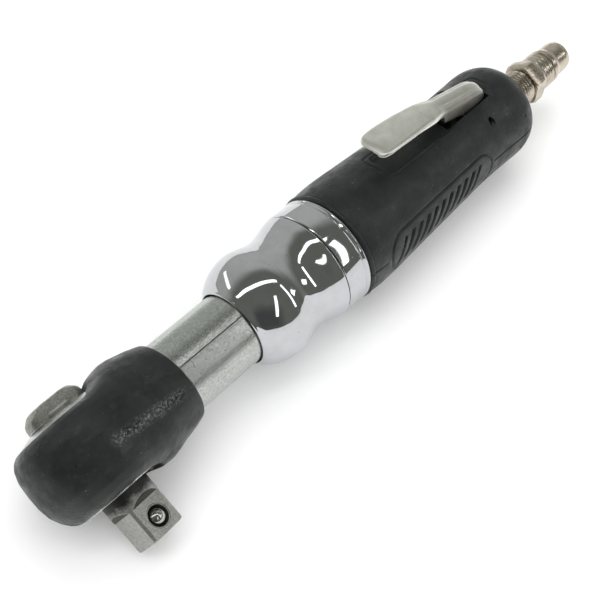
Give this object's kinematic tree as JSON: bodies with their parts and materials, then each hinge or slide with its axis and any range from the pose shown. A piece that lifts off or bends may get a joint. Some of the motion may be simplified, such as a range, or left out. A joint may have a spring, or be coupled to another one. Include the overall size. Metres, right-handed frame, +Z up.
{
  "type": "air ratchet wrench",
  "caption": "Pneumatic ratchet wrench: rubber-booted head with square drive and reversing knob, plated neck and nut, rubber grip with throttle lever, air plug.",
  "frame": {"origin": "centre of the bounding box's underside, with the tool lying on the plate", "axes": "+X along the tool from the head to the air inlet; +Z up, on the side of the throttle lever"},
  "size_m": [0.2732, 0.0544, 0.056],
  "materials": {
    "satin_steel": "satin, fine grain along the neck",
    "black_rubber": "matte, moulded",
    "spring_steel": "ground",
    "bronze": "sintered bronze",
    "chrome": "polished plating",
    "dark_steel": "dark oiled steel with worn edges",
    "lever_plate": "satin nickel plate",
    "nickel_plate": "nickel plate, slightly tarnished",
    "seal_rubber": "matte",
    "vane_fibre": "phenolic fibre",
    "bright_steel": "machined"
  },
  "bodies": {
    "housing": {"ratchet_housing": "satin_steel", "head_boot": "black_rubber", "retaining_ring": "spring_steel", "cover_plate": "spring_steel", "thrust_washer_knob_side": "bronze", "thrust_washer_drive_side": "bronze", "crank_bearing": "bronze", "ring_gear": "bright_steel", "clamp_nut": "chrome", "front_end_plate": "satin_steel", "rear_end_plate": "satin_steel", "front_bearing": "bright_steel", "rear_bearing": "bright_steel", "air_cylinder": "satin_steel", "motor_housing": "chrome", "grip_sleeve": "black_rubber", "lever_pin": "bright_steel", "plunger_bushing": "bronze", "valve_seat": "seal_rubber", "valve_spring": "bright_steel", "inlet_bushing": "nickel_plate", "exhaust_deflector": "nickel_plate", "inlet_screen": "bronze", "coupler_plug": "nickel_plate"},
    "anvil": {"drive_anvil": "dark_steel", "pawl_pin": "bright_steel", "detent_spring": "bright_steel"},
    "ball": {"detent_ball": "bright_steel"},
    "knob": {"reverse_knob": "dark_steel", "pawl_spring": "bright_steel"},
    "pawl_plunger": {"pawl_plunger": "bright_steel"},
    "pawl": {"pawl": "bright_steel"},
    "yoke": {"ratchet_yoke": "bright_steel"},
    "crank": {"crankshaft": "bright_steel", "planet_pin_1": "bright_steel", "planet_pin_2": "bright_steel", "planet_pin_3": "bright_steel"},
    "drive_bushing": {"drive_bushing": "bronze"},
    "planet_1": {"planet_gear_1": "bright_steel"},
    "planet_2": {"planet_gear_2": "bright_steel"},
    "planet_3": {"planet_gear_3": "bright_steel"},
    "rotor": {"rotor": "bright_steel"},
    "vane_1": {"vane_1": "vane_fibre"},
    "vane_2": {"vane_2": "vane_fibre"},
    "vane_3": {"vane_3": "vane_fibre"},
    "vane_4": {"vane_4": "vane_fibre"},
    "lever": {"throttle_lever": "lever_plate"},
    "throttle_plunger": {"throttle_plunger": "bright_steel"},
    "valve": {"tilt_valve": "bright_steel"}
  },
  "joints": [
    {"name": "rotor_spin", "type": "hinge", "parent": "housing", "child": "rotor", "pos_m": [0.00635, 0.00579, 0.02247], "axis": [1, 0, 0], "continuous": true},
    {"name": "crank_spin", "type": "hinge", "parent": "housing", "child": "crank", "pos_m": [-0.05965, 0.00579, 0.02247], "axis": [1, 0, 0], "continuous": true},
    {"name": "planet_1_spin", "type": "hinge", "parent": "crank", "child": "planet_1", "pos_m": [-0.03415, 0.00579, 0.01347], "axis": [1, 0, 0], "continuous": true},
    {"name": "planet_2_spin", "type": "hinge", "parent": "crank", "child": "planet_2", "pos_m": [-0.03415, 0.01358, 0.02697], "axis": [1, 0, 0], "continuous": true},
    {"name": "planet_3_spin", "type": "hinge", "parent": "crank", "child": "planet_3", "pos_m": [-0.03415, -0.002, 0.02697], "axis": [1, 0, 0], "continuous": true},
    {"name": "drive_bushing_spin", "type": "hinge", "parent": "crank", "child": "drive_bushing", "pos_m": [-0.08365, 0.00464, 0.02186], "axis": [1, 0, 0], "continuous": true},
    {"name": "yoke_rock", "type": "hinge", "parent": "housing", "child": "yoke", "pos_m": [-0.11465, 0.00579, 0.02247], "axis": [0, 0.8829, 0.4695], "range_deg": [-2.5, 2.5]},
    {"name": "anvil_spin", "type": "hinge", "parent": "housing", "child": "anvil", "pos_m": [-0.11465, 0.00579, 0.02247], "axis": [0, -0.8829, -0.4695], "continuous": true},
    {"name": "knob_turn", "type": "hinge", "parent": "anvil", "child": "knob", "pos_m": [-0.11465, 0.00579, 0.02247], "axis": [0, -0.8829, -0.4695], "range_deg": [-25, 25]},
    {"name": "pawl_rock", "type": "hinge", "parent": "anvil", "child": "pawl", "pos_m": [-0.12095, 0.00579, 0.02247], "axis": [0, -0.8829, -0.4695], "range_deg": [-7, 7]},
    {"name": "pawl_plunger_slide", "type": "slide", "parent": "knob", "child": "pawl_plunger", "axis": [1, 0, 0], "range_m": [0, 0.0005], "stiffness_N_per_m": 300, "springref_m": -0.001, "deforming": ["pawl_spring"]},
    {"name": "detent_press", "type": "slide", "parent": "anvil", "child": "ball", "axis": [-0.2588, 0.4535, -0.8529], "range_m": [0, 0.0012], "stiffness_N_per_m": 2500, "springref_m": -0.001, "deforming": ["detent_spring"]},
    {"name": "lever_press", "type": "hinge", "parent": "housing", "child": "lever", "pos_m": [0.07165, 0.00579, 0.03667], "axis": [0, -1, 0], "range_deg": [0, 5.5], "stiffness_Nm_per_rad": 3, "springref_deg": -5.73},
    {"name": "throttle_plunger_slide", "type": "slide", "parent": "housing", "child": "throttle_plunger", "axis": [0, 0, -1], "range_m": [0, 0.0013]},
    {"name": "valve_tilt", "type": "hinge", "parent": "housing", "child": "valve", "pos_m": [0.06815, 0.00579, 0.02777], "axis": [0, -1, 0], "range_deg": [0, 7.6], "deforming": ["valve_spring"]},
    {"name": "vane_1_slide", "type": "slide", "parent": "rotor", "child": "vane_1", "axis": [0, 0.7071, -0.7071], "range_m": [0, 0.0005]},
    {"name": "vane_2_slide", "type": "slide", "parent": "rotor", "child": "vane_2", "axis": [0, 0.7071, 0.7071], "range_m": [0, 0.0005]},
    {"name": "vane_3_slide", "type": "slide", "parent": "rotor", "child": "vane_3", "axis": [0, -0.7071, 0.7071], "range_m": [0, 0.0005]},
    {"name": "vane_4_slide", "type": "slide", "parent": "rotor", "child": "vane_4", "axis": [0, -0.7071, -0.7071], "range_m": [0, 0.0005]}
  ],
  "couplings": [
    {"joint": "crank_spin", "follows": "rotor_spin", "ratio": 0.25},
    {"joint": "planet_1_spin", "follows": "rotor_spin", "ratio": -0.75},
    {"joint": "planet_2_spin", "follows": "rotor_spin", "ratio": -0.75},
    {"joint": "planet_3_spin", "follows": "rotor_spin", "ratio": -0.75},
    {"joint": "pawl_rock", "follows": "knob_turn", "ratio": -0.26},
    {"joint": "throttle_plunger_slide", "follows": "lever_press", "m_per_rad": 0.0133},
    {"joint": "valve_tilt", "follows": "lever_press", "ratio": 1.357}
  ]
}
